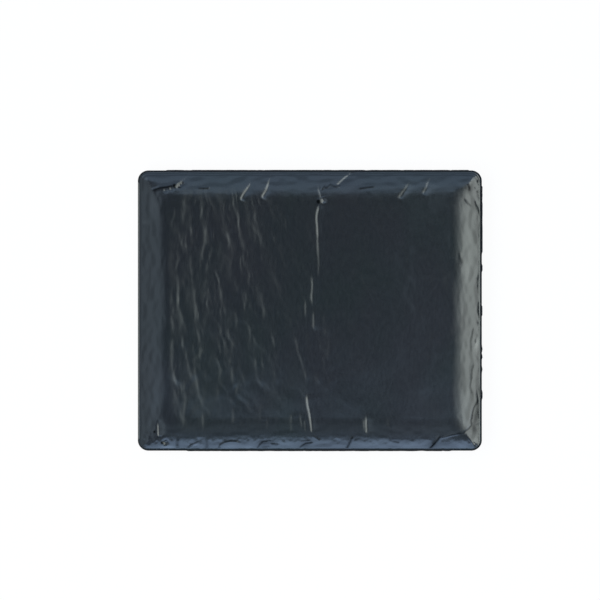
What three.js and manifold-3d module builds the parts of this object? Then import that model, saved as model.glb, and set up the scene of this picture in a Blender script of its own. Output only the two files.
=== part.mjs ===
// Slate-look melamine serving board, half gastronorm size: one moulded platter with a low raised rim
// and a drafted skirt, standing on four silicone feet that push into blind sockets under its floor.
// Millimetres, +Z up, X along the long side. The origin is on the table under the middle of the board.

import * as THREE from 'three';
import { mergeVertices } from 'three/addons/utils/BufferGeometryUtils.js';
import Module from 'manifold-3d';

const wasm = await Module();
wasm.setup();

// Board: overall sizes and the section through its rim
const LENGTH = 325; // along X, over the foot of the skirt
const WIDTH = 265; // along Y, over the foot of the skirt
const HEIGHT = 16.5; // table to the crest of the rim
const CORNER_RADIUS = 10.5; // outer corners in plan
const WELL_CORNER_RADIUS = 5; // the serving floor's corners in plan
const RIM_WIDTH = 32; // outer edge in to where the serving floor is flat
const CREST_INSET = 2; // outer edge in to the crest of the rim
const LIP_RADIUS = 1.5; // rounding over the crest
const FLOOR_THICKNESS = 4.5;
const SKIRT_THICKNESS = 3.2; // at the skirt's lower edge
const SKIRT_TAPER = 1; // how much thicker the skirt is at its root
const FOOT_STAND = 1; // skirt's lower edge above the table

// Split-stone face of the skirt: cleavage layers, each stepping in by its own waves round the edge
const SPLIT_LAYERS = 3;
const SPLIT_DEPTH = 0.9; // deepest step in
const SPLIT_LEDGE = 0.4; // drop of the ledge between two layers
const SPLIT_WAVES = [6, 14, 22]; // per turn round the edge, even so that opposite sides match
const SPLIT_TURN = 2.1; // radians each layer's waves are moved on

// Feet: a round silicone pad with a ribbed stem
const FOOT_DIAMETER = 14;
const PAD_HEIGHT = 2.2; // table to the top of the pad
const FOOT_CHAMFER = 0.6;
const FOOT_FROM_SIDE = 48; // outer edge in to the centre of a foot, both ways
const STEM_DIAMETER = 5.4;
const STEM_LENGTH = 2.6;
const RIB_HEIGHT = 0.3; // how far each rib stands out from the stem
const RIB_COUNT = 2;
const SEAT_GAP = 0.3; // pad to floor, and rib to socket
const SEAT_RING_WIDTH = 2; // moulded ring that keeps the pad from sliding
const SEAT_RING_HEIGHT = 0.9;

// Fineness of the curves
const LONG_SIDE_STEPS = 26;
const SHORT_SIDE_STEPS = 21;
const CORNER_STEPS = 4;
const SLOPE_STEPS = 6;
const LIP_STEPS = 2; // each side of the crest
const ROUND_STEPS = 24;

// Derived heights and the two arcs of the rim: the slope meets the floor and the lip without a corner
const floorBottom = PAD_HEIGHT + SEAT_GAP;
const floorTop = floorBottom + FLOOR_THICKNESS;
const wellDepth = HEIGHT - floorTop;
const slopeRun = RIM_WIDTH - CREST_INSET;
const slopeRadius = slopeRun ** 2 / (2 * wellDepth) + wellDepth / 2 - LIP_RADIUS;
const slopeCentre = new THREE.Vector2(RIM_WIDTH, floorTop + slopeRadius);
const lipCentre = new THREE.Vector2(CREST_INSET, HEIGHT - LIP_RADIUS);
const slopeAngle = Math.atan2(slopeRun, slopeCentre.y - lipCentre.y);
const skirtRise = lipCentre.y - FOOT_STAND;
const draft = Math.atan2(CREST_INSET, skirtRise)
  - Math.asin(LIP_RADIUS / Math.hypot(CREST_INSET, skirtRise));

// Points of an arc in the section (x = inset from the outer edge, y = height)
function arc(centre, radius, from, to, steps) {
  const curve = new THREE.EllipseCurve(centre.x, centre.y, radius, radius, from, to, to < from);
  return curve.getPoints(steps);
}

// Where a layer of the split face steps in, at a share of the way round the edge
function splitStep(share, layer) {
  const wave = (count) => Math.sin(2 * Math.PI * count * share + SPLIT_TURN * layer * count);
  const sum = SPLIT_WAVES.reduce((total, count) => total + wave(count), 0);
  return SPLIT_DEPTH * Math.max(0, sum / SPLIT_WAVES.length);
}

// Closed rounded-rectangle ring at a height, inset from the outer edge, starting on the +X side
function ring(inset, z, layer = null) {
  const radius = Math.max(CORNER_RADIUS - inset, WELL_CORNER_RADIUS);
  const cx = LENGTH / 2 - inset - radius;
  const cy = WIDTH / 2 - inset - radius;
  const corners = [[cx, cy], [-cx, cy], [-cx, -cy], [cx, -cy]];
  const points = [];
  corners.forEach(([x, y], k) => {
    const turn = (k * Math.PI) / 2;
    const bend = new THREE.EllipseCurve(x, y, radius, radius, turn, turn + Math.PI / 2);
    points.push(...bend.getPoints(CORNER_STEPS).slice(0, -1));
    const [nextX, nextY] = corners[(k + 1) % 4];
    const start = bend.getPoint(1);
    const end = new THREE.Vector2(nextX, nextY).add(start).sub(new THREE.Vector2(x, y));
    const side = new THREE.LineCurve(start, end);
    points.push(...side.getPoints(k % 2 ? SHORT_SIDE_STEPS : LONG_SIDE_STEPS).slice(0, -1));
  });
  if (layer === null) return points.map((p) => new THREE.Vector3(p.x, p.y, z));
  return points.map((p, i) => {
    const step = splitStep(i / points.length, layer);
    const inX = Math.sign(p.x) * Math.min(step, Math.max(0, Math.abs(p.x) - cx));
    const inY = Math.sign(p.y) * Math.min(step, Math.max(0, Math.abs(p.y) - cy));
    return new THREE.Vector3(p.x - inX, p.y - inY, z);
  });
}

// Closed solid through a row of rings, with a flat cap on the first and the last
function loft(rings) {
  const count = rings[0].length;
  const index = [];
  for (let r = 0; r + 1 < rings.length; r += 1) {
    for (let i = 0; i < count; i += 1) {
      const a = r * count + i;
      const b = r * count + ((i + 1) % count);
      index.push(a, a + count, b, b, a + count, b + count);
    }
  }
  const flat = rings[0].map((p) => new THREE.Vector2(p.x, p.y));
  const last = (rings.length - 1) * count;
  const lastFlat = rings[rings.length - 1].map((p) => new THREE.Vector2(p.x, p.y));
  THREE.ShapeUtils.triangulateShape(flat, []).forEach(([a, b, c]) => index.push(a, b, c));
  THREE.ShapeUtils.triangulateShape(lastFlat, []).forEach(([a, b, c]) => {
    index.push(last + a, last + c, last + b);
  });
  const geometry = new THREE.BufferGeometry();
  geometry.setFromPoints(rings.flat());
  geometry.setIndex(index);
  return geometry;
}

// Round solid from a profile of [radius, height] pairs, standing at x, y
function turned(profile, x, y) {
  const points = profile.map(([radius, z]) => new THREE.Vector2(radius, z));
  return new THREE.LatheGeometry(points, ROUND_STEPS).rotateX(Math.PI / 2).translate(x, y, 0);
}

function solid(geometry) {
  geometry.deleteAttribute('normal');
  geometry.deleteAttribute('uv');
  const merged = mergeVertices(geometry, 1e-4);
  return new wasm.Manifold(new wasm.Mesh({
    numProp: 3,
    vertProperties: new Float32Array(merged.attributes.position.array),
    triVerts: new Uint32Array(merged.index.array),
  }));
}

function named(name, body, colour, roughness) {
  const mesh = body.getMesh();
  const geometry = new THREE.BufferGeometry();
  geometry.setAttribute('position', new THREE.BufferAttribute(new Float32Array(mesh.vertProperties), 3));
  geometry.setIndex(new THREE.BufferAttribute(new Uint32Array(mesh.triVerts), 1));
  geometry.computeVertexNormals();
  const part = new THREE.Mesh(geometry, new THREE.MeshStandardMaterial({ color: colour, roughness }));
  part.name = name;
  return part;
}

// Rim section from the serving floor up the slope, over the lip, down the skirt and back underneath
const slopeUp = arc(slopeCentre, slopeRadius, -Math.PI / 2, -Math.PI / 2 - slopeAngle, SLOPE_STEPS);
const lipUp = arc(lipCentre, LIP_RADIUS, Math.PI / 2 - slopeAngle, Math.PI / 2, LIP_STEPS).slice(1);
const lipDown = arc(lipCentre, LIP_RADIUS, Math.PI / 2, Math.PI - draft, LIP_STEPS).slice(1);
const topRings = [...slopeUp, ...lipUp, ...lipDown].map((p) => ring(p.x, p.y));

const faceTop = lipDown[LIP_STEPS - 1].y;
const layerHeight = (faceTop - FOOT_STAND) / SPLIT_LAYERS;
const faceInset = (z) => Math.tan(draft) * (z - FOOT_STAND);
const faceRings = [];
for (let layer = 0; layer < SPLIT_LAYERS; layer += 1) {
  const top = faceTop - layer * layerHeight - SPLIT_LEDGE;
  const bottom = faceTop - (layer + 1) * layerHeight;
  faceRings.push(ring(faceInset(top), top, layer), ring(faceInset(bottom), bottom, layer));
}

// Underside: the skirt's inner wall, then an arc one floor thickness below the slope
const underRadius = slopeRadius + FLOOR_THICKNESS;
const innerInset = SKIRT_THICKNESS + SKIRT_TAPER;
const underAngle = Math.asin((RIM_WIDTH - innerInset) / underRadius);
const underSlope = arc(slopeCentre, underRadius, -Math.PI / 2 - underAngle, -Math.PI / 2, SLOPE_STEPS);
const underRings = [ring(SKIRT_THICKNESS, FOOT_STAND), ...underSlope.map((p) => ring(p.x, p.y))];

// Feet sit at the four corners, clear of the curved part of the underside
const footX = LENGTH / 2 - FOOT_FROM_SIDE;
const footY = WIDTH / 2 - FOOT_FROM_SIDE;
const feet = [
  ['foot_front_left', -footX, -footY],
  ['foot_front_right', footX, -footY],
  ['foot_back_left', -footX, footY],
  ['foot_back_right', footX, footY],
];

const footRadius = FOOT_DIAMETER / 2;
const stemRadius = STEM_DIAMETER / 2;
const stemTop = PAD_HEIGHT + STEM_LENGTH;
const socketRadius = stemRadius + RIB_HEIGHT + SEAT_GAP;

// Blind socket for a stem, and the ring moulded round the pad
function socket(x, y) {
  const top = stemTop + SEAT_GAP;
  const below = floorBottom - 1;
  return solid(turned([[0, below], [socketRadius, below], [socketRadius, top], [0, top]], x, y));
}

function seatRing(x, y) {
  const inner = footRadius + SEAT_GAP;
  const outer = inner + SEAT_RING_WIDTH;
  const low = floorBottom - SEAT_RING_HEIGHT;
  const high = floorBottom + FLOOR_THICKNESS / 3;
  return solid(turned([[inner, low], [outer, low], [outer, high], [inner, high], [inner, low]], x, y));
}

// One foot: chamfered pad, then a stem with ribs that bite the socket, then a pointed lead-in
function foot(x, y) {
  const ribPitch = STEM_LENGTH / (RIB_COUNT + 1);
  const profile = [
    [0, 0],
    [footRadius - FOOT_CHAMFER, 0],
    [footRadius, FOOT_CHAMFER],
    [footRadius, PAD_HEIGHT],
    [stemRadius, PAD_HEIGHT],
  ];
  for (let rib = 1; rib <= RIB_COUNT; rib += 1) {
    const middle = PAD_HEIGHT + rib * ribPitch;
    profile.push([stemRadius, middle - ribPitch / 3]);
    profile.push([stemRadius + RIB_HEIGHT, middle - ribPitch / 6]);
    profile.push([stemRadius, middle + ribPitch / 3]);
  }
  profile.push([stemRadius - FOOT_CHAMFER, stemTop], [0, stemTop]);
  return solid(turned(profile, x, y));
}

let body = solid(loft([...topRings, ...faceRings, ...underRings]));
feet.forEach(([, x, y]) => {
  body = body.add(seatRing(x, y)).subtract(socket(x, y));
});

const group = new THREE.Group();
group.name = 'serving_board';
group.add(named('board', body, 0x2b2f33, 0.4));
feet.forEach(([name, x, y]) => group.add(named(name, foot(x, y), 0x1c1c1d, 0.8)));

export default group;
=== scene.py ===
import bpy
import numpy as np
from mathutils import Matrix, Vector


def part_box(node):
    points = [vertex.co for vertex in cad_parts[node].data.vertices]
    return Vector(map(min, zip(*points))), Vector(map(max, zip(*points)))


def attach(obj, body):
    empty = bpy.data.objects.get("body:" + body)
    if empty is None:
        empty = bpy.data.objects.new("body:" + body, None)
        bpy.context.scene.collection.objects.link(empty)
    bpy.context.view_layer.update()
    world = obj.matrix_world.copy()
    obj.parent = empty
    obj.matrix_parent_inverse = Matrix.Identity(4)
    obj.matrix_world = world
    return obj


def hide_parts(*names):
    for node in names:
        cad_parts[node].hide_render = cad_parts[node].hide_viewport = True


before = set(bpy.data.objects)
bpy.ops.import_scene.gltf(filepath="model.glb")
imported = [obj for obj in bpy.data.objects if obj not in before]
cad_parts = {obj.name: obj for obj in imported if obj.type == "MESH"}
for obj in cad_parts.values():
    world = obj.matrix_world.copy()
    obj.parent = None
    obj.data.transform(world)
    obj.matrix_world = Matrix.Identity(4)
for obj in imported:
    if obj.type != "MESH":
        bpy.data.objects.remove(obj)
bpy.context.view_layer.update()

# The board's serving face. The board is one piece, compression moulded in melamine that imitates split
# slate: a stone relief on the serving floor, cracks and chips on the slope of the rim, and a rounded lip.
# Sizes are in millimetres until the mesh is written, and marks are placed by their photograph pixels.

MM = 0.001
board_low, board_high = (np.array(corner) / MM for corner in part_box("board"))
HALF_X = board_high[0]
HALF_Y = board_high[1]
CREST = board_high[2]
SKIRT_FOOT = board_low[2]
CORNER_RADIUS = 10.5
WELL_CORNER_RADIUS = 5.0
RIM_WIDTH = 32.0
CREST_INSET = 2.0
LIP_RADIUS = 1.5
FLOOR_TOP = 7.0
LEFT_VALLEY = 24.0
RIGHT_VALLEY = 9.0

WELL_DEPTH = CREST - FLOOR_TOP
SLOPE_RUN = RIM_WIDTH - CREST_INSET
SLOPE_RADIUS = SLOPE_RUN**2 / (2 * WELL_DEPTH) + WELL_DEPTH / 2 - LIP_RADIUS
SLOPE_ANGLE = np.arctan2(SLOPE_RUN, SLOPE_RADIUS + LIP_RADIUS - WELL_DEPTH)
LIP_FOOT = CREST_INSET + LIP_RADIUS * np.sin(SLOPE_ANGLE)

PHOTO_SCALE = 0.946
PHOTO_CENTRE_X = 309.3
PHOTO_CENTRE_Y = 310.0


def smooth(low, high, value):
    """Cubic ease from 0 at low to 1 at high."""
    share = np.clip((value - low) / (high - low), 0, 1)
    return share * share * (3 - 2 * share)


def rim_height(inset):
    """Height over the table at an inset from the outer edge: flat floor, arc of the slope, round of the
    lip."""
    run = np.clip(RIM_WIDTH - inset, 0, SLOPE_RADIUS * np.sin(SLOPE_ANGLE))
    slope = FLOOR_TOP + SLOPE_RADIUS - np.sqrt(SLOPE_RADIUS**2 - run**2)
    off_crest = np.clip(inset - CREST_INSET, -LIP_RADIUS, LIP_RADIUS)
    lip = CREST - LIP_RADIUS + np.sqrt(LIP_RADIUS**2 - off_crest**2)
    return np.where(inset < LIP_FOOT, lip, slope)


def inset_of(x, y):
    """Distance in from the rounded outline, eased across the diagonals so that the slopes meet in a valley,
    which is softer on the left."""
    to_side = HALF_X - np.abs(x)
    to_end = HALF_Y - np.abs(y)
    round_x = np.maximum(CORNER_RADIUS - to_side, 0)
    round_y = np.maximum(CORNER_RADIUS - to_end, 0)
    bend = np.hypot(round_x, round_y)
    inset = np.where(bend > 0, CORNER_RADIUS - bend, np.minimum(to_side, to_end))
    valley = np.where(x < 0, LEFT_VALLEY, RIGHT_VALLEY)
    overlap = np.maximum(1 - np.abs(to_side - to_end) / valley, 0)
    return inset - valley / 4 * overlap**2 * smooth(CREST_INSET, 2 * CORNER_RADIUS, inset)


def waves(across, along, length, stretch, count, seed):
    """Sum of seeded cosine waves of about one length (mm) across, and stretch times longer along, scaled to
    unit spread."""
    rng = np.random.default_rng(seed)
    pitch = 2 * np.pi / length * rng.uniform(0.5, 1.5, count)
    slant = 2 * np.pi / (length * stretch) * rng.normal(0, 1, count)
    phase = rng.uniform(0, 2 * np.pi, count)
    total = np.zeros_like(across)
    for k in range(count):
        total += np.cos(pitch[k] * across + slant[k] * along + phase[k])
    return total * np.sqrt(2 / count)


def beside(x, y, pixels):
    """Signed distance (mm) to a line of photograph points, positive on the left-hand side of travel, and the
    share of the line's length passed at the nearest place."""
    photo = np.array(pixels, float)
    line_x = (photo[:, 0] - PHOTO_CENTRE_X) * PHOTO_SCALE
    line_y = (PHOTO_CENTRE_Y - photo[:, 1]) * PHOTO_SCALE
    step_x = np.diff(line_x)
    step_y = np.diff(line_y)
    lengths = np.hypot(step_x, step_y)
    passed = np.concatenate(([0], np.cumsum(lengths)))
    nearest = np.full(x.shape, np.inf)
    side = np.zeros_like(x)
    share = np.zeros_like(x)
    for k in range(len(lengths)):
        from_x = x - line_x[k]
        from_y = y - line_y[k]
        along = np.clip((from_x * step_x[k] + from_y * step_y[k]) / lengths[k] ** 2, 0, 1)
        off = np.hypot(from_x - along * step_x[k], from_y - along * step_y[k])
        closer = off < nearest
        nearest = np.where(closer, off, nearest)
        side = np.where(closer, np.sign(step_x[k] * from_y - step_y[k] * from_x), side)
        share = np.where(closer, (passed[k] + along * lengths[k]) / passed[-1], share)
    return nearest * side, share


def fading(share, start, end):
    """Full along a line, easing to nothing over a share of it at its start and at its end."""
    return smooth(0, start, share) * smooth(0, end, 1 - share)


def crack(x, y, pixels, width):
    """How far into a crack a point lies, from 0 to 1: a bell of the given half width along a line."""
    off, share = beside(x, y, pixels)
    return np.exp(-((off / width) ** 2)) * fading(share, 0.15, 0.15)


def cleavage_step(x, y, pixels, width, rise, reach, start=0.15, end=0.15):
    """Step along a line: higher on the left-hand side, climbing over width and easing back over reach, and
    fading over shares of the line at its start and end."""
    off, share = beside(x, y, pixels)
    climb = 0.5 + 0.5 * np.tanh(off / width)
    return rise * climb * np.exp(-np.maximum(off, 0) / reach) * fading(share, start, end)


def spot(x, y, pixel, radii):
    """Bell, from 0 to 1, at one photograph point, with a half width along x and one along y."""
    off_x = x - (pixel[0] - PHOTO_CENTRE_X) * PHOTO_SCALE
    off_y = y - (PHOTO_CENTRE_Y - pixel[1]) * PHOTO_SCALE
    return np.exp(-((off_x / radii[0]) ** 2) - (off_y / radii[1]) ** 2)


# Veins and streaks of the serving floor, each from its upper end down: the stone steps up to the right
# there. A vein has its rise (mm), the shares of its line over which it fades at each end, and its line.
VEINS = (
    (0.75, 0.1, 0.85, ((319, 203), (316.5, 213), (316, 219), (317, 228), (317, 245), (317, 272))),
    (0.8, 0.1, 0.1, ((306, 394), (307, 404), (309, 413), (310, 421), (311.5, 433))),
    (0.8, 0.4, 0.1, ((365.5, 413), (366, 433))),
    (0.35, 0.3, 0.3, ((363, 417), (363.5, 432))),
    (0.3, 0.3, 0.3, ((387, 415), (388, 424), (391, 434))),
    (0.2, 0.3, 0.3, ((202.5, 412), (203, 431))),
    (0.15, 0.3, 0.3, ((233, 406), (233, 424))),
    (0.18, 0.3, 0.3, ((267, 416), (267, 431))),
    (0.15, 0.3, 0.3, ((291, 409), (291, 433))),
    (0.3, 0.3, 0.3, ((299, 411), (302, 430))),
    (0.35, 0.3, 0.3, ((304, 417), (305, 433))),
    (0.3, 0.3, 0.3, ((317.5, 236), (318, 250), (318.5, 264), (317, 282))),
    (0.5, 0.3, 0.2, ((311, 272), (312, 286), (311, 295), (312, 306))),
    (0.4, 0.3, 0.2, ((313, 308), (313, 330))),
    (0.35, 0.3, 0.3, ((305, 298), (305, 318))),
)
STREAKS = (
    ((186, 230), (185, 249)),
    ((193, 226), (192.5, 248)),
    ((206, 225), (204.5, 242), (202, 254), (201, 264)),
    ((190, 249), (191.5, 275), (194, 290), (196, 306), (199, 322), (202, 339)),
    ((184, 272), (184.5, 289)),
    ((176, 270), (178.5, 287), (178, 304), (182, 319), (187, 334)),
    ((173, 333), (172, 345), (170.5, 356), (173, 371), (178, 386)),
    ((180, 334), (184.5, 348), (188, 363), (192, 381)),
    ((191, 339), (194, 352), (194.5, 370), (198, 388), (201, 405)),
    ((200, 344), (199.5, 355), (202.5, 366), (207, 381)),
    ((216, 351), (218, 360), (221, 370), (218, 385), (216, 401)),
    ((185, 382), (185, 398), (184, 418), (182, 427)),
    ((235, 310), (237.5, 322)),
    ((231, 364), (233.5, 387)),
    ((240, 238), (244, 248), (245, 258), (248, 267)),
    ((226, 230), (229, 240), (232, 250), (234, 262)),
    ((219, 283), (221, 295), (225, 315)),
    ((294, 333), (297, 345), (298, 352), (301, 359), (303, 368), (305, 374), (309, 384)),
)
SOFT_STREAKS = (
    ((184, 195), (184, 225)),
    ((181, 238), (181, 252), (179.5, 265)),
    ((208, 263), (208, 274), (204, 288), (205, 299)),
    ((218, 248), (219, 260), (223, 275)),
    ((227, 204), (230, 215), (232, 227)),
    ((234, 281), (237.5, 293)),
    ((228, 328), (229.5, 340)),
    ((233, 338), (231, 354), (228, 370)),
    ((175, 390), (178, 402), (183, 424)),
    ((231, 390), (233, 425)),
    ((239, 356), (240, 368), (246, 385)),
    ((251, 214), (256, 226), (260, 236), (262, 248)),
    ((268, 222), (273, 234), (278, 254)),
    ((256, 284), (260, 294), (265, 310), (269, 319)),
    ((256, 310), (256, 320), (261, 334)),
    ((276, 342), (277, 360), (273, 366), (276, 385)),
    ((323.5, 310), (325, 335)),
    ((307, 333), (308.5, 348)),
    ((330, 334), (327, 357), (329, 371)),
    ((254, 348), (257, 370), (261, 387)),
    ((290, 413), (291, 432)),
    ((260, 405), (260, 421)),
    ((310, 372), (322, 385), (340, 400), (362, 414)),
    ((322, 352), (325, 370), (333, 386)),
    ((419, 363), (416, 378), (418, 394)),
    ((432, 328), (430, 348), (426, 368)),
    ((449, 258), (447, 272), (448, 288)),
    ((451, 326), (449, 340), (449, 354)),
    ((405, 240), (407, 262), (404, 284)),
)
# Scratches on the slope of the rim, each with its rise (mm) and its line from the upper end down: the step
# up to the right catches light
SCRATCHES = (
    (0.95, ((252, 178), (249, 186), (246, 190), (243, 194), (240, 200))),
    (0.95, ((274, 171), (270, 177), (268, 184), (266, 190), (261, 198))),
    (1.3, ((358, 168), (347, 176), (341, 181), (336, 186))),
    (0.4, ((196, 170), (188, 176), (182, 181), (177, 185.5))),
    (1.0, ((413, 177), (408, 184), (404, 190), (401, 194), (398, 198))),
    (1.05, ((434, 171), (428, 181), (426, 187), (422, 194))),
    (0.5, ((317, 183), (318.5, 190), (321, 198))),
    (1.5, ((157.8, 417), (158.4, 426), (158.8, 436))),
)
# Cracks in the rim, from the open ones to the faint ones
OPEN_CRACKS = (
    ((150, 191), (157, 188.5), (160, 187.5), (167, 186.7), (171, 185.7), (178, 185.7)),
    ((345, 449), (349, 442), (352.5, 435)),
    ((427, 449), (433, 443), (437, 439), (440, 434)),
)
BROAD_CRACKS = (
    ((178.5, 435), (177, 443), (179, 451)),
    ((206, 437), (207, 444), (206, 451)),
)
CRACKS = (
    ((239, 441), (231, 440), (224, 441.5), (220, 444), (217, 448.5)),
    ((320, 190.5), (324, 186), (326, 187.5), (330, 184.2), (333.5, 185.8), (337, 186.3), (342, 184.8)),
    ((197, 187.5), (204, 187.8), (210, 187.3)),
    ((357, 188), (365, 187), (375, 186)),
    ((464, 198), (467, 203), (471, 207)),
    ((467.5, 182.5), (468.5, 187), (469, 192)),
    ((472, 198), (475, 208), (478, 214), (479, 221), (477, 229)),
    ((476.5, 300), (476, 311), (478.5, 320)),
    ((472, 326), (471, 334), (469.5, 341), (470.3, 353)),
    ((472.5, 360), (470.5, 372), (470, 380), (469, 385), (471.5, 397)),
    ((475, 386), (474.5, 393), (476, 399), (475, 403), (472.5, 407), (471, 414), (470, 420), (470.5, 424),
     (467.5, 428), (463, 432), (450, 434.5), (438, 438)),
    ((477.5, 385), (478.5, 398)),
    ((186, 447), (193, 443.5), (199, 440.5)),
    ((256, 448), (259, 444), (264, 440)),
    ((270, 443), (279, 443.7)),
    ((298, 447), (305, 442.5), (313, 442)),
    ((312, 435), (320, 440)),
    ((465, 433), (470, 440), (475, 448)),
)
FAINT_CRACKS = (
    ((458.5, 253), (460, 258), (462.5, 263)),
    ((475, 276), (475.5, 294)),
    ((478, 342), (478, 351)),
    ((193, 446), (202, 443)),
    ((263, 441.5), (271, 440)),
    ((261, 446.5), (270, 445)),
    ((301, 440.5), (310, 440)),
    ((367, 435), (367, 443)),
    ((391, 441), (399, 442.3)),
    ((149.5, 222), (148, 240), (148.5, 254)),
    ((149.5, 260), (150, 275), (149, 290), (147.5, 304)),
)
# Each kind of crack: its lines, its half width and depth (mm), and the strength of the shade painted into it
CRACK_KINDS = (
    (OPEN_CRACKS, 1.2, 0.4, 0.9),
    (BROAD_CRACKS, 2.0, 0.15, 0.5),
    (CRACKS, 0.7, 0.3, 0.65),
    (FAINT_CRACKS, 0.8, 0.15, 0.3),
)
# Flake scars, listed so that the lost side is on the left
FLAKE_SCARS = (
    ((242, 442), (236, 440.5), (229, 440.5), (224, 441.5), (220, 444), (217, 448.5)),
)
# Patches of the rim with painted shade, or painted highlight where the strength is negative: the place, the
# half widths (mm) along x and y, and the strength
SHADE_AND_HIGHLIGHT_PATCHES = (
    ((477, 404), (4, 5), 0.35),
    ((475, 416), (4, 6), 0.35),
    ((473, 428), (4, 4), 0.35),
    ((479, 388), (2, 6), 0.3),
    ((466, 190), (5, 4), 0.25),
    ((468.8, 187.5), (1.6, 2.5), 0.3),
    ((476, 231), (3, 8), 0.25),
    ((461, 261), (2, 4), 0.35),
    ((463, 322), (2, 9), 0.25),
    ((461, 378), (4, 12), 0.25),
    ((467, 240), (3, 14), -0.2),
    ((466, 268), (4, 14), -0.25),
    ((479, 310), (1.5, 8), -0.5),
    ((475, 343), (2.5, 6), -0.7),
    ((466, 400), (2, 10), -0.2),
    ((473, 441), (3, 3), -0.4),
    ((155, 444), (5, 2), 0.2),
    ((168, 446), (7, 1.2), -0.7),
    ((196, 444), (4, 1.2), -0.6),
    ((231, 445.5), (9, 2), -0.4),
    ((249, 446), (6, 1.5), -0.4),
    ((263, 443), (6, 4), 0.3),
    ((284, 443), (6, 2), -0.3),
    ((305, 444), (5, 3), 0.3),
    ((375, 443), (13, 3), -0.35),
    ((411, 445), (12, 2.5), -0.35),
    ((433, 444), (5, 4), 0.25),
    ((460, 445), (6, 2.5), -0.3),
    ((145, 222), (2, 2), -0.5),
    ((154, 205), (4, 12), -0.3),
)
# Pits: the place, and the half width and depth (mm)
PITS = (
    ((317.8, 201.2), 2.2, 0.5),
    ((162.2, 442), 1.2, 0.4),
    ((154.4, 431), 1.0, 0.25),
    ((174, 185.3), 1.6, 0.5),
)
# Small chips that stand up and catch the main light: the place, and the half width and rise (mm)
KNOBS = (
    ((165.8, 190), 1.8, 0.8),
    ((171.6, 188.6), 1.7, 0.75),
    ((179.7, 186), 1.9, 1.4),
    ((182.6, 184), 1.7, 1.0),
    ((323.2, 200.4), 1.7, 1.0),
    ((474.5, 187), 1.4, 0.4),
    ((477.5, 181), 1.4, 0.4),
    ((475, 343), 2.6, 0.5),
    ((165.7, 441), 2.1, 1.8),
    ((472.5, 184), 1.8, 0.5),
    ((476, 339), 1.8, 0.5),
)
# The steps along lines: their widths and shared rises, and how far they take to ease back (mm)
VEIN_WIDTH = 1.0
STREAK_WIDTH = 1.7
STREAK_RISE = 0.27
SOFT_STREAK_WIDTH = 1.9
SOFT_STREAK_RISE = 0.18
STEP_REACH = 6.0
SCRATCH_WIDTH = 1.1
SCRATCH_REACH = 2.5
SCAR_WIDTH = 0.6
SCAR_DEPTH = 0.5
SCAR_REACH = 5.0
# Shares of a scratch over which it fades at its ends, spread of the streaks' strength, strength of the shade
# painted into a pit
SCRATCH_FADES = (0.5, 0.1)
STREAK_SPREAD = 0.25
PIT_SHADE_PAINT = 1.6
# The floor's own relief (mm), and the shares of its ripples that are left on the right and at the front
SWELL_HEIGHT = 0.1
FOLD_HEIGHT = 0.05
RIPPLE_HEIGHT = 0.04
FINE_RIPPLE_HEIGHT = 0.018
RIGHT_RIPPLES = 0.4
FRONT_RIPPLES = 0.5
TOE_HEIGHT = 0.68
TOE_REACH = 45.0
# The rim's own relief (mm): ledges at insets along two edges with painted shade along them, ripples,
# painted shade in dull patches on the slope, and chips, fewest at the back left
BACK_LEDGES = (3.3, 5.2)
LEFT_LEDGES = (3.1,)
LEDGE_WIDTH = 0.5
LEDGE_DEPTH = 0.12
LEDGE_SHADE_PAINT = 0.45
DULL_SHADE_PAINT = 0.3
RIM_RIPPLE_HEIGHT = 0.02
CHIP_HEIGHT = 0.07
FEWEST_CHIPS = 0.2
CREST_FADE = 1.2


def floor_share(inset):
    """Eases from 0 part of the way down the slope to 1 where the serving floor is flat."""
    return smooth(RIM_WIDTH * 0.35, RIM_WIDTH, inset)


def floor_relief(x, y, inset):
    """Height of the floor's own relief: a quiet swell, plus ripples that fan out over the left half and calm
    down to the right and towards the front, plus a low toe that climbs to the right rim."""
    lean = 0.1 + 0.4 * smooth(-130, -30, x)
    across = x * np.cos(lean) + y * np.sin(lean) + waves(x, y, 30, 1.0, 24, 7) * 1.2
    along = y * np.cos(lean) - x * np.sin(lean)
    patches = smooth(-0.8, 1.0, waves(across, along, 30, 1.5, 24, 8))
    swell = SWELL_HEIGHT * waves(x, y, 80, 1.2, 24, 3)
    folds = FOLD_HEIGHT * waves(across, along, 24, 2.5, 40, 4)
    wide = RIPPLE_HEIGHT * waves(across, along, 10, 3, 60, 5) * patches
    narrow = FINE_RIPPLE_HEIGHT * waves(across, along, 5, 4, 60, 6) * patches
    by_side = 1 - (1 - RIGHT_RIPPLES) * smooth(-60, 30, x)
    by_front = FRONT_RIPPLES + (1 - FRONT_RIPPLES) * smooth(-95, -65, y)
    ripples = (folds + wide + narrow) * by_side * by_front
    floor_toe = np.clip(1 - (inset - RIM_WIDTH) / TOE_REACH, 0, 1) ** 2
    toe = np.where(inset > RIM_WIDTH, floor_toe, smooth(CREST_INSET, RIM_WIDTH, inset))
    return (swell + ripples) * floor_share(inset) + TOE_HEIGHT * toe * smooth(20, 90, x)


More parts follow.
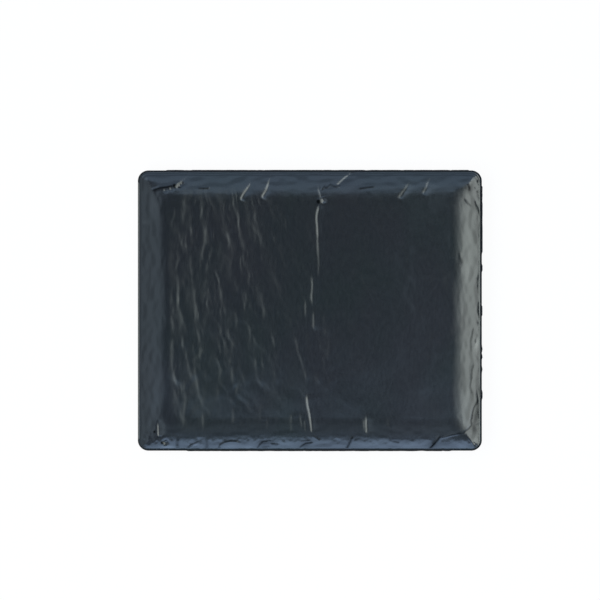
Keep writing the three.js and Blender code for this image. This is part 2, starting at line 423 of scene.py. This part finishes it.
def photo_marks(x, y):
    """Height and painted shade of the marks read from the photograph: the sum of the steps and knobs, less
    the cracks and pits, and the strongest shade painted into a crack or pit at each point."""
    height = np.zeros_like(x)
    painted_shading = np.zeros_like(x)
    bold = 1 + STREAK_SPREAD * waves(x, y, 18, 1.0, 40, 9)
    for rise, start, end, line in VEINS:
        height = height + cleavage_step(x, y, line, VEIN_WIDTH, rise, STEP_REACH, start, end)
    for line in STREAKS:
        height = height + cleavage_step(x, y, line, STREAK_WIDTH, STREAK_RISE, STEP_REACH) * bold
    for line in SOFT_STREAKS:
        height = height + cleavage_step(x, y, line, SOFT_STREAK_WIDTH, SOFT_STREAK_RISE, STEP_REACH) * bold
    for rise, line in SCRATCHES:
        height = height + cleavage_step(x, y, line, SCRATCH_WIDTH, rise, SCRATCH_REACH, *SCRATCH_FADES)
    for line in FLAKE_SCARS:
        height = height + cleavage_step(x, y, line, SCAR_WIDTH, -SCAR_DEPTH, SCAR_REACH)
    # Cracks and pits are cut into the height and also get painted shade
    for lines, width, depth, crack_shade_paint in CRACK_KINDS:
        for line in lines:
            cut = crack(x, y, line, width)
            height = height - depth * cut
            painted_shading = np.maximum(painted_shading, crack_shade_paint * cut)
    for place, radius, depth in PITS:
        cut = spot(x, y, place, (radius, radius))
        height = height - depth * cut
        painted_shading = np.maximum(painted_shading, np.minimum(PIT_SHADE_PAINT * cut, 1))
    for place, radius, rise in KNOBS:
        height = height + rise * spot(x, y, place, (radius, radius))
    return height, painted_shading


def rim_waves(x, y, length, seed):
    """Waves of about one length (mm) across the nearest side of the rim and longer along it, changing over
    from side to side at the corners."""
    at_side = smooth(-10, 10, np.abs(x) - HALF_X - np.abs(y) + HALF_Y)
    return at_side * waves(x, y, length, 3, 60, seed) + (1 - at_side) * waves(y, x, length, 3, 60, seed + 1)


def rim_relief(x, y, inset):
    """Height and painted shade of the rim's own relief: bell-shaped ledges along the back and left edges
    with shade painted along them, ripples and patches painted darker and less glossy on the slope, and small
    chips along the outer part, most at the right and the front."""
    height = np.zeros_like(x)
    painted_shading = np.zeros_like(x)
    wander = inset + waves(x, y, 60, 1.0, 12, 15) * 0.25
    at_back = smooth(HALF_Y - 12, HALF_Y - 9, y)
    at_left = smooth(HALF_X - 12, HALF_X - 9, -x)
    for side, places in ((at_back, BACK_LEDGES), (at_left, LEFT_LEDGES)):
        for place in places:
            ledge = np.exp(-(((wander - place) / LEDGE_WIDTH) ** 2)) * side
            height = height - LEDGE_DEPTH * ledge
            painted_shading = np.maximum(painted_shading, LEDGE_SHADE_PAINT * ledge)
    slope = (1 - floor_share(inset)) * smooth(LIP_FOOT, LIP_FOOT + 2, inset)
    dull_shade = smooth(-0.8, 1.8, rim_waves(x, y, 9, 13))
    painted_shading = np.maximum(painted_shading, DULL_SHADE_PAINT * dull_shade * slope)
    height = height + RIM_RIPPLE_HEIGHT * rim_waves(x, y, 6, 16) * slope
    chipped = np.maximum(smooth(100, 150, x), smooth(80, 120, -y))
    chips = (FEWEST_CHIPS + (1 - FEWEST_CHIPS) * chipped) * (1 - smooth(6, 14, inset))
    return height + CHIP_HEIGHT * waves(x, y, 8, 1.0, 60, 12) * chips, painted_shading


def stone_relief(x, y, inset):
    """Height of the stone relief over the plain moulding, and its painted shading, where 1 is full painted
    shade in a crack and less than 0 is a painted highlight: the floor's relief, the marks and the rim's
    relief added up, and the stronger painted shade of the two plus the painted patches, all easing to
    nothing at the crest."""
    mark_height, mark_painted_shading = photo_marks(x, y)
    rim_rise, rim_painted_shading = rim_relief(x, y, inset)
    height = floor_relief(x, y, inset) + mark_height + rim_rise
    painted_shading = np.maximum(mark_painted_shading, rim_painted_shading)
    for place, radii, strength in SHADE_AND_HIGHLIGHT_PATCHES:
        painted_shading = painted_shading + strength * spot(x, y, place, radii)
    inside = smooth(CREST_INSET, CREST_INSET + CREST_FADE, inset)
    return height * inside, painted_shading * inside


def grid_lines(stops):
    """Grid lines through (place, spacing) stops, each spacing running to the next place. The stretch with
    the most cells takes up to three more, so that the number of cells divides by four."""
    places = np.array([stop[0] for stop in stops])
    counts = np.ceil(np.diff(places) / [stop[1] for stop in stops[:-1]]).astype(int)
    counts[np.argmax(counts)] += -counts.sum() % 4
    runs = [np.linspace(places[k], places[k + 1], counts[k], endpoint=False) for k in range(len(counts))]
    return np.concatenate(runs + [places[-1:]])


def rounded(x, y, half_x, half_y, radius):
    """Carries a rectangle's points to a rounded rectangle: each square corner block becomes a quarter
    disc."""
    corner_x = np.maximum(np.abs(x) - (half_x - radius), 0) / radius
    corner_y = np.maximum(np.abs(y) - (half_y - radius), 0) / radius
    shift_x = corner_x * (np.sqrt(1 - corner_y**2 / 2) - 1) * radius
    shift_y = corner_y * (np.sqrt(1 - corner_x**2 / 2) - 1) * radius
    return x + np.sign(x) * shift_x, y + np.sign(y) * shift_y


def rim_loop(index):
    """Indices round the edge of a grid, anticlockwise from its first corner."""
    return np.concatenate((index[:-1, 0], index[-1, :-1], index[:0:-1, -1], index[0, :0:-1]))


def band(outer, inner):
    """Quads between two closed rows of equal count."""
    return np.stack((outer, inner, np.roll(inner, -1), np.roll(outer, -1)), axis=1)


lines_x = grid_lines((
    (-HALF_X + CREST_INSET, 0.5),
    (-154, 1.3),
    (-146, 0.7),
    (-139, 1.3),
    (-131, 0.8),
    (-9, 0.65),
    (14, 1.4),
    (48, 0.7),
    (60, 1.4),
    (131, 0.75),
    (152, 0.5),
    (HALF_X - CREST_INSET, 1.0),
))
lines_y = grid_lines((
    (-HALF_Y + CREST_INSET, 0.5),
    (-118, 0.8),
    (-100, 1.9),
    (98, 0.7),
    (124, 0.5),
    (HALF_Y - CREST_INSET, 1.0),
))
flat_x, flat_y = np.meshgrid(lines_x, lines_y, indexing="ij")
crest_x = HALF_X - CREST_INSET
crest_y = HALF_Y - CREST_INSET
top_x, top_y = rounded(flat_x, flat_y, crest_x, crest_y, CORNER_RADIUS - CREST_INSET)
top_inset = inset_of(top_x, top_y)
top_relief, top_painted_shading = stone_relief(top_x, top_y, top_inset)
top_z = rim_height(top_inset) + top_relief

points = [np.stack((top_x.ravel(), top_y.ravel(), top_z.ravel()), axis=1)]
top_index = np.arange(top_x.size).reshape(top_x.shape)
top_faces = np.stack(
    (top_index[:-1, :-1], top_index[1:, :-1], top_index[1:, 1:], top_index[:-1, 1:]), axis=-1
).reshape(-1, 4)
crest_loop = rim_loop(top_index)
share_x = flat_x.ravel()[crest_loop] / crest_x
share_y = flat_y.ravel()[crest_loop] / crest_y


def add_row(x, y, z):
    """Appends a row of points and returns its indices."""
    start = sum(len(group) for group in points)
    points.append(np.stack((x, y, np.broadcast_to(z, x.shape)), axis=1))
    return np.arange(start, start + len(x))


def outline_row(share_x, share_y, inset, z):
    """Row round the board at an inset, which may differ from point to point, and a height."""
    radius = np.maximum(CORNER_RADIUS - inset, WELL_CORNER_RADIUS)
    half_x = HALF_X - inset
    half_y = HALF_Y - inset
    x, y = rounded(share_x * half_x, share_y * half_y, half_x, half_y, radius)
    return add_row(x, y, z)


# The board's skirt. The same moulding's outer face, split into cleavage layers as a broken slate edge is,
# with flakes that stand proud on three sides. It is rougher and duller than the serving face, up to the
# crest of the lip, and only the left lip, which faces the main light, is as smooth as the face. Its colour
# is painted darker than the face's, as painted shade that keeps the outline dark on the sides away from the
# light.

LIP_TURN = np.radians(87.7)
LIP_ROWS = 4
SPLIT_LAYERS = 4
SPLIT_DEPTH = 0.5
SPLIT_LEDGE = 0.25
RIGHT_PROUD = 0.75
RIGHT_FLAKES = ((186, 253), (264, 271), (305, 316), (346, 351), (354, 358), (366, 371), (390, 399))
BACK_PROUD = 0.5
BACK_FLAKE = (166, 468)
FRONT_PROUD = 0.5
FRONT_FLAKE = (187, 450)


def flake(run, first, last):
    """Flat-topped rise, from 0 to 1, between two places along a side, in photograph pixels."""
    return smooth(first - 1, first + 1.5, run) * (1 - smooth(last - 1.5, last + 1, run))


def proud_flakes(x, y):
    """How far the skirt's face stands out: the side's rise times the flake's shape, for each flake of the
    stone that shows beyond the lip in the photograph."""
    across = PHOTO_CENTRE_X + x / PHOTO_SCALE
    down = PHOTO_CENTRE_Y - y / PHOTO_SCALE
    at_right = x > HALF_X - CORNER_RADIUS
    at_back = y > HALF_Y - CORNER_RADIUS
    at_front = y < CORNER_RADIUS - HALF_Y
    rise = BACK_PROUD * flake(across, *BACK_FLAKE) * at_back
    rise = np.maximum(rise, FRONT_PROUD * flake(across, *FRONT_FLAKE) * at_front)
    for first, last in RIGHT_FLAKES:
        rise = np.maximum(rise, RIGHT_PROUD * flake(down, first, last) * at_right)
    return rise


def split_inset(layer):
    """How far one cleavage layer of the skirt's face steps in from point to point round the edge."""
    x = share_x * HALF_X
    y = share_y * HALF_Y
    chips = waves(x + layer * 40, y - layer * 25, 20, 1.0, 40, 20 + layer)
    return SPLIT_DEPTH * np.clip(0.3 + 0.5 * chips, 0, 1.5) - proud_flakes(x, y)


lip_faces = []
lit_left_lip = (share_x == -1) & (np.abs(share_y) < 1 - CORNER_RADIUS / HALF_Y)
row = crest_loop
for turn in np.linspace(0, LIP_TURN, LIP_ROWS + 1)[1:]:
    inset = np.full(len(share_x), CREST_INSET - LIP_RADIUS * np.sin(turn))
    lower = outline_row(share_x, share_y, inset, CREST - LIP_RADIUS * (1 - np.cos(turn)))
    lip_faces.append(band(row, lower))
    row = lower
face_top = CREST - LIP_RADIUS * (1 - np.cos(LIP_TURN))
layer_height = (face_top - SKIRT_FOOT) / SPLIT_LAYERS
face_inset = CREST_INSET - LIP_RADIUS * np.sin(LIP_TURN)
# The lip takes the darker edge material as painted shade, except on the left, where it faces the main light
# and keeps the face
shaded_edge_faces = [faces[~lit_left_lip] for faces in lip_faces]
for layer in range(SPLIT_LAYERS):
    for z in (face_top - layer * layer_height - SPLIT_LEDGE, face_top - (layer + 1) * layer_height):
        draft = face_inset * (z - SKIRT_FOOT) / (face_top - SKIRT_FOOT)
        lower = outline_row(share_x, share_y, draft + split_inset(layer), z)
        shaded_edge_faces.append(band(row, lower))
        row = lower
shaded_edge_faces = np.concatenate(shaded_edge_faces)
face_faces = np.concatenate([top_faces] + [faces[lit_left_lip] for faces in lip_faces])

# The board's underside. A plain satin face from the mould's lower half: the skirt's inner wall, an arc one
# floor thickness below the slope, a flat floor, and at each foot a low ring round a blind socket.

FLOOR_THICKNESS = 4.5
SKIRT_THICKNESS = 3.2
SKIRT_TAPER = 1.0
FLOOR_BOTTOM = FLOOR_TOP - FLOOR_THICKNESS
FOOT_FROM_SIDE = 48.0
FOOT_RADIUS = 7.0
SEAT_GAP = 0.3
SEAT_RING_WIDTH = 2.0
SEAT_RING_HEIGHT = 0.9
SOCKET_RADIUS = 3.3
SOCKET_TOP = 5.1
BLOCK_HALF = 12.0
BLOCK_CELLS = 8
MARGIN_CELLS = 4
ARC_ROWS = 8

foot_x = HALF_X - FOOT_FROM_SIDE
foot_y = HALF_Y - FOOT_FROM_SIDE
few_x = share_x[::4]
few_y = share_y[::4]
lower = outline_row(few_x, few_y, np.full(len(few_x), SKIRT_THICKNESS), SKIRT_FOOT)
stitch_faces = np.stack(
    (row[::4], lower, np.roll(lower, -1), np.roll(row[::4], -1), row[3::4], row[2::4], row[1::4]), axis=1
)
row = lower
under_faces = []
under_radius = SLOPE_RADIUS + FLOOR_THICKNESS
floor_half_x = HALF_X - RIM_WIDTH
floor_half_y = HALF_Y - RIM_WIDTH


def under_lines(half, foot, cells):
    """Grid lines of the underside's flat floor: a margin, a foot block, the middle, and the same
    mirrored."""
    margin = np.linspace(-half, -foot - BLOCK_HALF, MARGIN_CELLS, endpoint=False)
    block = np.linspace(-foot - BLOCK_HALF, -foot + BLOCK_HALF, BLOCK_CELLS, endpoint=False)
    middle_cells = cells - 2 * (MARGIN_CELLS + BLOCK_CELLS)
    middle = np.linspace(-foot + BLOCK_HALF, foot - BLOCK_HALF, middle_cells + 1)
    return np.concatenate((margin, block, middle, -block[::-1], -margin[::-1]))


under_x = under_lines(floor_half_x, foot_x, len(lines_x) // 4)
under_y = under_lines(floor_half_y, foot_y, len(lines_y) // 4)
grid_x, grid_y = np.meshgrid(under_x, under_y, indexing="ij")
floor_x, floor_y = rounded(grid_x, grid_y, floor_half_x, floor_half_y, WELL_CORNER_RADIUS)
floor_index = np.arange(floor_x.size).reshape(floor_x.shape)
floor_loop = rim_loop(floor_index)
end_x = grid_x.ravel()[floor_loop] / floor_half_x
end_y = grid_y.ravel()[floor_loop] / floor_half_y
for inset in np.linspace(SKIRT_THICKNESS + SKIRT_TAPER, RIM_WIDTH, ARC_ROWS)[:-1]:
    across = (inset - SKIRT_THICKNESS) / (RIM_WIDTH - SKIRT_THICKNESS)
    z = FLOOR_TOP + SLOPE_RADIUS - np.sqrt(under_radius**2 - (RIM_WIDTH - inset) ** 2)
    mid_x = few_x + (end_x - few_x) * across
    mid_y = few_y + (end_y - few_y) * across
    lower = outline_row(mid_x, mid_y, np.full(len(few_x), inset), z)
    under_faces.append(band(row, lower))
    row = lower
floor_row = add_row(floor_x.ravel(), floor_y.ravel(), FLOOR_BOTTOM)
floor_grid = floor_row.reshape(floor_x.shape)
under_faces.append(band(row, rim_loop(floor_grid)))
cells = np.stack(
    (floor_grid[:-1, :-1], floor_grid[:-1, 1:], floor_grid[1:, 1:], floor_grid[1:, :-1]), axis=-1
)
last_x = len(under_x) - 1 - MARGIN_CELLS - BLOCK_CELLS
last_y = len(under_y) - 1 - MARGIN_CELLS - BLOCK_CELLS
block_cells = np.arange(BLOCK_CELLS)
open_x = np.isin(np.arange(len(under_x) - 1), np.r_[MARGIN_CELLS + block_cells, last_x + block_cells])
open_y = np.isin(np.arange(len(under_y) - 1), np.r_[MARGIN_CELLS + block_cells, last_y + block_cells])
under_faces.append(cells[~(open_x[:, None] & open_y[None, :])])

seat_inner = FOOT_RADIUS + SEAT_GAP
seat_outer = seat_inner + SEAT_RING_WIDTH
SEAT_PROFILE = (
    (seat_outer + 0.6, FLOOR_BOTTOM),
    (seat_outer, FLOOR_BOTTOM),
    (seat_outer - 0.2, FLOOR_BOTTOM - SEAT_RING_HEIGHT),
    (seat_inner + 0.2, FLOOR_BOTTOM - SEAT_RING_HEIGHT),
    (seat_inner, FLOOR_BOTTOM),
    (SOCKET_RADIUS, FLOOR_BOTTOM),
    (SOCKET_RADIUS, SOCKET_TOP),
)
around = np.radians(-135 + 360 / (4 * BLOCK_CELLS) * np.arange(4 * BLOCK_CELLS))
socket_caps = []
for first_x in (MARGIN_CELLS, last_x):
    for first_y in (MARGIN_CELLS, last_y):
        block = floor_grid[first_x:first_x + BLOCK_CELLS + 1, first_y:first_y + BLOCK_CELLS + 1]
        row = rim_loop(block)
        centre_x = under_x[first_x] + BLOCK_HALF
        centre_y = under_y[first_y] + BLOCK_HALF
        for radius, z in SEAT_PROFILE:
            lower = add_row(centre_x + radius * np.cos(around), centre_y + radius * np.sin(around), z)
            under_faces.append(band(row, lower))
            row = lower
        socket_caps.append(row[::-1])
under_faces = np.concatenate(under_faces)


def mesh_piece(name, corners, face_groups, materials, painted_shading):
    """Mesh object in metres from corners in millimetres and the arrays of faces of each material. The
    corners' painted shading values become a point attribute, and corners that no face uses are dropped."""
    used = np.unique(np.concatenate([group.ravel() for groups in face_groups for group in groups]))
    place = np.full(len(corners), -1)
    place[used] = np.arange(len(used))
    faces = [face for groups in face_groups for group in groups for face in place[group].tolist()]
    counts = [sum(len(group) for group in groups) for groups in face_groups]
    mesh = bpy.data.meshes.new(name)
    mesh.from_pydata((corners[used] * MM).tolist(), [], faces)
    for material in materials:
        mesh.materials.append(material)
    mesh.polygons.foreach_set("material_index", np.repeat(np.arange(len(counts)), counts))
    mesh.polygons.foreach_set("use_smooth", np.ones(len(faces), bool))
    mesh.set_sharp_from_angle(angle=np.radians(50))
    mesh.attributes.new("painted_shading", "FLOAT", "POINT").data.foreach_set("value", painted_shading[used])
    piece = bpy.data.objects.new(name, mesh)
    bpy.context.collection.objects.link(piece)
    return piece


def shader_node(tree, kind, **sockets):
    """Adds a shader node. Each named socket takes a value, or a link when given another node's output."""
    made = tree.nodes.new(kind)
    for name, value in sockets.items():
        socket = made.inputs[name.replace("_", " ")]
        if isinstance(value, bpy.types.NodeSocket):
            tree.links.new(value, socket)
        else:
            socket.default_value = value
    return made


def stone_noise(tree, scale, detail, roughness):
    """Noise on Object coordinates, scaled per axis to cycles per metre."""
    place = shader_node(tree, "ShaderNodeTexCoord")
    turned = shader_node(tree, "ShaderNodeMapping", Vector=place.outputs["Object"], Scale=scale)
    return shader_node(
        tree,
        "ShaderNodeTexNoise",
        Vector=turned.outputs["Vector"],
        Scale=1.0,
        Detail=detail,
        Roughness=roughness,
    )


def colour_ramp(tree, source, stops):
    """Colour ramp through (place, colour) stops."""
    ramp = shader_node(tree, "ShaderNodeValToRGB", Fac=source)
    elements = ramp.color_ramp.elements
    for _ in range(len(stops) - 2):
        elements.new(0.5)
    for element, (place, colour) in zip(elements, stops):
        element.position = place
        element.color = (*colour, 1)
    return ramp.outputs["Color"]


# Near black colour and low specular, painted as shade into cracks, pits, ledges and dull patches
SHADE_PAINT_COLOUR = (0.002, 0.0025, 0.003, 1)
SHADE_PAINT_SPECULAR = 0.03
MELAMINE_IOR = 1.66


def moulded(name, colours, specular, gloss, tint_scale, grain_scale, grain_depth):
    """Moulded surface: a slow drift between near shades, painted shade where the painted shading is above 0
    (base colour mixed towards near black, specular lowered), a painted highlight where it is below 0
    (specular raised), a fine grain as bump, and roughness that follows the grain between two values."""
    material = bpy.data.materials.new(name)
    material.use_nodes = True
    tree = material.node_tree
    surface = tree.nodes["Principled BSDF"]
    tint = stone_noise(tree, tint_scale, 3, 0.5)
    grain = stone_noise(tree, grain_scale, 2, 0.5).outputs["Fac"]
    shade = colour_ramp(tree, tint.outputs["Fac"], colours)
    attribute = shader_node(tree, "ShaderNodeAttribute")
    attribute.attribute_name = "painted_shading"
    painted_shading = attribute.outputs["Fac"]
    # Painted shade: base colour mixed towards near black and specular lowered where the attribute is
    # positive; where it is negative the specular rises as a painted highlight
    shade_painted_colour = shader_node(tree, "ShaderNodeMixRGB", Fac=painted_shading, Color1=shade, Color2=SHADE_PAINT_COLOUR)
    tree.links.new(shade_painted_colour.outputs["Color"], surface.inputs["Base Color"])
    painted_shine = shader_node(tree, "ShaderNodeMapRange", Value=painted_shading, To_Min=specular, To_Max=SHADE_PAINT_SPECULAR)
    painted_shine.clamp = False
    tree.links.new(painted_shine.outputs["Result"], surface.inputs["Specular IOR Level"])
    rough = shader_node(
        tree,
        "ShaderNodeMapRange",
        Value=grain,
        From_Min=0.3,
        From_Max=0.7,
        To_Min=gloss[0],
        To_Max=gloss[1],
    )
    tree.links.new(rough.outputs["Result"], surface.inputs["Roughness"])
    bump = shader_node(tree, "ShaderNodeBump", Height=grain, Strength=1.0, Distance=grain_depth)
    tree.links.new(bump.outputs["Normal"], surface.inputs["Normal"])
    surface.inputs["IOR"].default_value = MELAMINE_IOR
    return material


FACE_SHADES = (
    (0.35, (0.0072, 0.0108, 0.0124)),
    (0.5, (0.0082, 0.0102, 0.013)),
    (0.65, (0.0096, 0.0102, 0.0138)),
)
# Darker tones for the skirt and lip: a rougher split edge, with its colour also painted darker as shade for
# the sides away from the main light
SHADED_EDGE_TONES = (
    (0.35, (0.0034, 0.0062, 0.0074)),
    (0.5, (0.0042, 0.0056, 0.0078)),
    (0.65, (0.0054, 0.0056, 0.0086)),
)
slate_face = moulded(
    "slate_face",
    FACE_SHADES,
    specular=0.5,
    gloss=(0.21, 0.25),
    tint_scale=(14, 10, 14),
    grain_scale=(420, 150, 420),
    grain_depth=0.0000025,
)
shaded_split_edge = moulded(
    "shaded_split_edge",
    SHADED_EDGE_TONES,
    specular=0.1,
    gloss=(0.55, 0.68),
    tint_scale=(20, 20, 60),
    grain_scale=(160, 160, 900),
    grain_depth=0.0002,
)
UNDERSIDE_SHADES = (
    (0.4, (0.011, 0.0135, 0.0155)),
    (0.6, (0.0125, 0.0145, 0.017)),
)
underside = moulded(
    "plain_underside",
    UNDERSIDE_SHADES,
    specular=0.5,
    gloss=(0.4, 0.48),
    tint_scale=(9, 9, 9),
    grain_scale=(900, 900, 900),
    grain_depth=0.00002,
)

corners = np.concatenate(points)
board_painted_shading = np.zeros(len(corners))
board_painted_shading[:top_painted_shading.size] = top_painted_shading.ravel()
board = mesh_piece(
    "slate_board",
    corners,
    ((face_faces,), (shaded_edge_faces,), (stitch_faces, under_faces, np.array(socket_caps))),
    (slate_face, shaded_split_edge, underside),
    board_painted_shading,
)
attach(board, "root")
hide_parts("board")

# The four feet. Soft silicone pads, moulded with a ribbed stem that is pushed into the socket under the
# board, so the pad sits inside its ring. A groove and a gate mark show on the face that stands on the table.

FOOT_SEGMENTS = 64
# Radius and height (mm), from the gate mark out over the pad and up the stem
FOOT_PROFILE = (
    (0.9, 0.25),
    (1.2, 0.0),
    (4.2, 0.0),
    (4.45, 0.35),
    (4.75, 0.35),
    (5.0, 0.0),
    (6.3, 0.0),
    (6.75, 0.15),
    (7.0, 0.6),
    (7.0, 2.0),
    (6.85, 2.2),
    (2.7, 2.2),
    (2.7, 2.8),
    (3.0, 2.95),
    (2.7, 3.35),
    (2.7, 3.65),
    (3.0, 3.8),
    (2.7, 4.2),
    (2.1, 4.8),
)
feet_places = {
    "foot_front_left": (-foot_x, -foot_y),
    "foot_front_right": (foot_x, -foot_y),
    "foot_back_left": (-foot_x, foot_y),
    "foot_back_right": (foot_x, foot_y),
}
SILICONE_SHADES = (
    (0.4, (0.011, 0.011, 0.012)),
    (0.6, (0.015, 0.015, 0.016)),
)
silicone = moulded(
    "silicone",
    SILICONE_SHADES,
    specular=0.5,
    gloss=(0.68, 0.8),
    tint_scale=(200, 200, 200),
    grain_scale=(2500, 2500, 2500),
    grain_depth=0.00002,
)
turn = 2 * np.pi * np.arange(FOOT_SEGMENTS) / FOOT_SEGMENTS
foot_radii = np.array(FOOT_PROFILE)[:, 0]
foot_heights = np.array(FOOT_PROFILE)[:, 1]
foot_index = np.arange(len(FOOT_PROFILE) * FOOT_SEGMENTS).reshape(len(FOOT_PROFILE), FOOT_SEGMENTS)
foot_rings = np.concatenate(
    [band(low, high)[:, ::-1] for low, high in zip(foot_index[:-1], foot_index[1:])]
)
foot_caps = np.stack((foot_index[0][::-1], foot_index[-1]))
for name, (x, y) in feet_places.items():
    foot_corners = np.stack(
        (
            x + np.outer(foot_radii, np.cos(turn)),
            y + np.outer(foot_radii, np.sin(turn)),
            np.repeat(foot_heights[:, None], FOOT_SEGMENTS, axis=1),
        ),
        axis=-1,
    ).reshape(-1, 3)
    no_painted_shading = np.zeros(len(foot_corners))
    foot = mesh_piece("silicone_" + name, foot_corners, ((foot_rings, foot_caps),), (silicone,), no_painted_shading)
    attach(foot, "root")
    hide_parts(name)

# The floor. A plain white table top. The camera and reflections see it nearly white, and a share of its
# real shading is kept, so that the board still throws its shadow.

FLOOR_HALF = 6.0
SHADOW_SHARE = 0.06
floor_mesh = bpy.data.meshes.new("floor")
floor_mesh.from_pydata(
    [(-FLOOR_HALF, -FLOOR_HALF, 0), (FLOOR_HALF, -FLOOR_HALF, 0), (FLOOR_HALF, FLOOR_HALF, 0),
     (-FLOOR_HALF, FLOOR_HALF, 0)],
    [],
    [(0, 1, 2, 3)],
)
floor = bpy.data.objects.new("floor", floor_mesh)
bpy.context.collection.objects.link(floor)
table_white = bpy.data.materials.new("table_white")
table_white.use_nodes = True
tree = table_white.node_tree
tree.nodes.clear()
ray = shader_node(tree, "ShaderNodeLightPath")
seen = shader_node(tree, "ShaderNodeMath")
seen.operation = "MAXIMUM"
tree.links.new(ray.outputs["Is Camera Ray"], seen.inputs[0])
tree.links.new(ray.outputs["Is Glossy Ray"], seen.inputs[1])
through = shader_node(tree, "ShaderNodeMath")
through.operation = "MAXIMUM"
tree.links.new(seen.outputs[0], through.inputs[0])
tree.links.new(ray.outputs["Is Transmission Ray"], through.inputs[1])
kept = shader_node(tree, "ShaderNodeMath")
kept.operation = "MULTIPLY"
kept.inputs[1].default_value = 1 - SHADOW_SHARE
tree.links.new(through.outputs[0], kept.inputs[0])
paint = shader_node(tree, "ShaderNodeBsdfDiffuse", Color=(0.9, 0.9, 0.9, 1))
glow = shader_node(tree, "ShaderNodeEmission", Color=(1, 1, 1, 1), Strength=1.0)
both = shader_node(tree, "ShaderNodeMixShader", Fac=kept.outputs[0])
tree.links.new(paint.outputs[0], both.inputs[1])
tree.links.new(glow.outputs[0], both.inputs[2])
shader_node(tree, "ShaderNodeOutputMaterial", Surface=both.outputs[0])
floor_mesh.materials.append(table_white)

# The light. One wide softbox on the left is the main light, with a weaker spill of it higher up. A low cool
# light stands behind, with its own spill, and dimmer cool fills stand close to the board in front and on
# the right. The room itself is a dim cool grey.


def softbox(name, azimuth, polar, distance, size, radiance, colour):
    """Rectangular area light facing the board, at an azimuth from +X and an angle down from straight above,
    in degrees. Its power gives its face the radiance."""
    light = bpy.data.lights.new(name, "AREA")
    light.shape = "RECTANGLE"
    light.size, light.size_y = size
    light.energy = 4 * radiance * size[0] * size[1]
    light.color = colour
    lamp = bpy.data.objects.new(name, light)
    pan = np.radians(azimuth)
    tilt = np.radians(polar)
    way = np.array((np.cos(pan) * np.sin(tilt), np.sin(pan) * np.sin(tilt), np.cos(tilt)))
    lamp.location = distance * way
    lamp.rotation_euler = (tilt, 0, pan + np.pi / 2)
    lamp.visible_camera = False
    bpy.context.collection.objects.link(lamp)


# Each light's azimuth and angle from straight above (degrees), distance and size (m), radiance and colour
LIGHTS = {
    "left_softbox": (187, 43.8, 5, (6.9, 4.25), 2.56, (0.915, 1.0, 0.955)),
    "left_spill": (187, 15, 5, (4.6, 1.0), 0.66, (0.88, 1.0, 0.98)),
    "back_light": (90, 63, 5, (6.6, 3.25), 2.07, (0.5, 0.7, 1.0)),
    "back_spill": (90, 30, 5, (5.0, 3.2), 0.24, (0.6, 0.8, 1.0)),
    "front_fill": (270, 42, 0.63, (0.83, 0.7), 0.86, (0.5, 0.72, 1.0)),
    "right_fill": (0, 40.4, 1.08, (1.38, 1.2), 0.6, (0.7, 0.87, 1.0)),
}
for name, values in LIGHTS.items():
    softbox(name, *values)
ROOM_COLOUR = (0.9, 0.97, 1.0, 1)
ROOM_STRENGTH = 0.07
world = bpy.data.worlds.new("studio")
world.use_nodes = True
background = world.node_tree.nodes["Background"]
background.inputs["Color"].default_value = ROOM_COLOUR
background.inputs["Strength"].default_value = ROOM_STRENGTH
bpy.context.scene.world = world

# The camera. It looks straight down, as the photograph does, and stands a little off the board's middle so
# that the board falls where it does in the frame.

CAMERA_HEIGHT = 3.0
FRAME_PIXELS = 600
SENSOR_WIDTH = 36
OUTLINE_HEIGHT = 2.0
camera_data = bpy.data.cameras.new("camera")
camera_data.sensor_width = SENSOR_WIDTH
frame_width = FRAME_PIXELS * PHOTO_SCALE * MM
camera_data.lens = SENSOR_WIDTH * (CAMERA_HEIGHT - OUTLINE_HEIGHT * MM) / frame_width
camera = bpy.data.objects.new("camera", camera_data)
camera.location = (
    (FRAME_PIXELS / 2 - 0.5 - PHOTO_CENTRE_X) * PHOTO_SCALE * MM,
    (PHOTO_CENTRE_Y - FRAME_PIXELS / 2 + 0.5) * PHOTO_SCALE * MM,
    CAMERA_HEIGHT,
)
bpy.context.collection.objects.link(camera)
bpy.context.scene.camera = camera
bpy.context.scene.view_settings.view_transform = "Standard"
